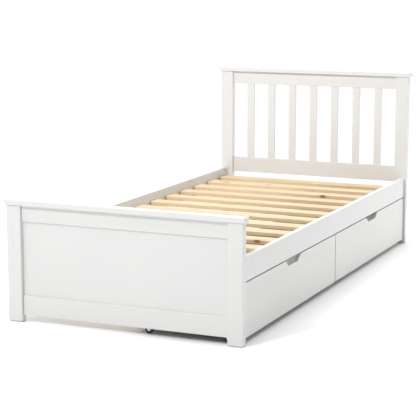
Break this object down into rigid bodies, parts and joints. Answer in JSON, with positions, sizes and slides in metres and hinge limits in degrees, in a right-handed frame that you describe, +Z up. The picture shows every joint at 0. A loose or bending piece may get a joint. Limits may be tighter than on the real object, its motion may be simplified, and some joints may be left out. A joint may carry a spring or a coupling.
{
  "type": "bed frame with under-bed drawers",
  "caption": "White painted wooden single bed frame with a panelled footboard, a slatted headboard, a slatted base and drawers on castors under its right side.",
  "frame": {"origin": "on the floor, in the middle of the bed's outline seen from above", "axes": "+Z up; +Y along the bed towards the headboard; +X to the right, the side the drawers roll out to"},
  "size_m": [0.985, 2.098, 0.826],
  "materials": {
    "painted_wood": "satin white paint",
    "painted_board": "smooth satin white paint",
    "bare_pine": "bare planed pine",
    "hardboard": "smooth hardboard",
    "webbing": "woven cotton band",
    "zinc_steel": "zinc plated",
    "black_plastic": "black moulded plastic",
    "white_plastic": "white moulded plastic"
  },
  "bodies": {
    "bed": {"footboard_left_post": "painted_wood", "footboard_right_post": "painted_wood", "footboard_cap": "painted_wood", "footboard_top_rail": "painted_wood", "footboard_bottom_rail": "painted_wood", "footboard_panel": "painted_board", "headboard_left_post": "painted_wood", "headboard_right_post": "painted_wood", "headboard_cap": "painted_wood", "headboard_top_rail": "painted_wood", "headboard_bottom_rail": "painted_wood", "headboard_slat_1": "painted_wood", "headboard_slat_2": "painted_wood", "headboard_slat_3": "painted_wood", "headboard_slat_4": "painted_wood", "headboard_slat_5": "painted_wood", "headboard_slat_6": "painted_wood", "headboard_slat_7": "painted_wood", "left_side_rail": "painted_wood", "right_side_rail": "painted_wood", "left_slat_ledge": "bare_pine", "right_slat_ledge": "bare_pine", "base_slat_01": "bare_pine", "base_slat_02": "bare_pine", "base_slat_03": "bare_pine", "base_slat_04": "bare_pine", "base_slat_05": "bare_pine", "base_slat_06": "bare_pine", "base_slat_07": "bare_pine", "base_slat_08": "bare_pine", "base_slat_09": "bare_pine", "base_slat_10": "bare_pine", "base_slat_11": "bare_pine", "base_slat_12": "bare_pine", "base_slat_13": "bare_pine", "slat_webbing": "webbing", "connector_bolts": "zinc_steel", "barrel_nuts": "zinc_steel", "cover_caps": "white_plastic", "foot_glides": "white_plastic"},
    "foot_drawer": {"foot_drawer_front": "painted_board", "foot_drawer_foot_side": "painted_board", "foot_drawer_head_side": "painted_board", "foot_drawer_back": "painted_board", "foot_drawer_bottom": "hardboard", "foot_drawer_castor_forks": "zinc_steel"},
    "foot_drawer_wheel_1": {"foot_drawer_wheel_1": "black_plastic"},
    "foot_drawer_wheel_2": {"foot_drawer_wheel_2": "black_plastic"},
    "foot_drawer_wheel_3": {"foot_drawer_wheel_3": "black_plastic"},
    "foot_drawer_wheel_4": {"foot_drawer_wheel_4": "black_plastic"},
    "head_drawer": {"head_drawer_front": "painted_board", "head_drawer_foot_side": "painted_board", "head_drawer_head_side": "painted_board", "head_drawer_back": "painted_board", "head_drawer_bottom": "hardboard", "head_drawer_castor_forks": "zinc_steel"},
    "head_drawer_wheel_1": {"head_drawer_wheel_1": "black_plastic"},
    "head_drawer_wheel_2": {"head_drawer_wheel_2": "black_plastic"},
    "head_drawer_wheel_3": {"head_drawer_wheel_3": "black_plastic"},
    "head_drawer_wheel_4": {"head_drawer_wheel_4": "black_plastic"}
  },
  "joints": [
    {"name": "foot_drawer_slide", "type": "slide", "parent": "bed", "child": "foot_drawer", "axis": [1, 0, 0], "range_m": [0, 0.4]},
    {"name": "foot_drawer_wheel_1_roll", "type": "hinge", "parent": "foot_drawer", "child": "foot_drawer_wheel_1", "pos_m": [0.4075, -0.99, 0.016], "axis": [0, 1, 0], "continuous": true},
    {"name": "foot_drawer_wheel_2_roll", "type": "hinge", "parent": "foot_drawer", "child": "foot_drawer_wheel_2", "pos_m": [0.4075, -0.021, 0.016], "axis": [0, 1, 0], "continuous": true},
    {"name": "foot_drawer_wheel_3_roll", "type": "hinge", "parent": "foot_drawer", "child": "foot_drawer_wheel_3", "pos_m": [0.0895, -0.99, 0.016], "axis": [0, 1, 0], "continuous": true},
    {"name": "foot_drawer_wheel_4_roll", "type": "hinge", "parent": "foot_drawer", "child": "foot_drawer_wheel_4", "pos_m": [0.0895, -0.021, 0.016], "axis": [0, 1, 0], "continuous": true},
    {"name": "head_drawer_slide", "type": "slide", "parent": "bed", "child": "head_drawer", "axis": [1, 0, 0], "range_m": [0, 0.4]},
    {"name": "head_drawer_wheel_1_roll", "type": "hinge", "parent": "head_drawer", "child": "head_drawer_wheel_1", "pos_m": [0.4075, 0.02, 0.016], "axis": [0, 1, 0], "continuous": true},
    {"name": "head_drawer_wheel_2_roll", "type": "hinge", "parent": "head_drawer", "child": "head_drawer_wheel_2", "pos_m": [0.4075, 0.989, 0.016], "axis": [0, 1, 0], "continuous": true},
    {"name": "head_drawer_wheel_3_roll", "type": "hinge", "parent": "head_drawer", "child": "head_drawer_wheel_3", "pos_m": [0.0895, 0.02, 0.016], "axis": [0, 1, 0], "continuous": true},
    {"name": "head_drawer_wheel_4_roll", "type": "hinge", "parent": "head_drawer", "child": "head_drawer_wheel_4", "pos_m": [0.0895, 0.989, 0.016], "axis": [0, 1, 0], "continuous": true}
  ],
  "couplings": [
    {"joint": "foot_drawer_wheel_1_roll", "follows": "foot_drawer_slide", "rad_per_m": 62.5},
    {"joint": "foot_drawer_wheel_2_roll", "follows": "foot_drawer_slide", "rad_per_m": 62.5},
    {"joint": "foot_drawer_wheel_3_roll", "follows": "foot_drawer_slide", "rad_per_m": 62.5},
    {"joint": "foot_drawer_wheel_4_roll", "follows": "foot_drawer_slide", "rad_per_m": 62.5},
    {"joint": "head_drawer_wheel_1_roll", "follows": "head_drawer_slide", "rad_per_m": 62.5},
    {"joint": "head_drawer_wheel_2_roll", "follows": "head_drawer_slide", "rad_per_m": 62.5},
    {"joint": "head_drawer_wheel_3_roll", "follows": "head_drawer_slide", "rad_per_m": 62.5},
    {"joint": "head_drawer_wheel_4_roll", "follows": "head_drawer_slide", "rad_per_m": 62.5}
  ]
}
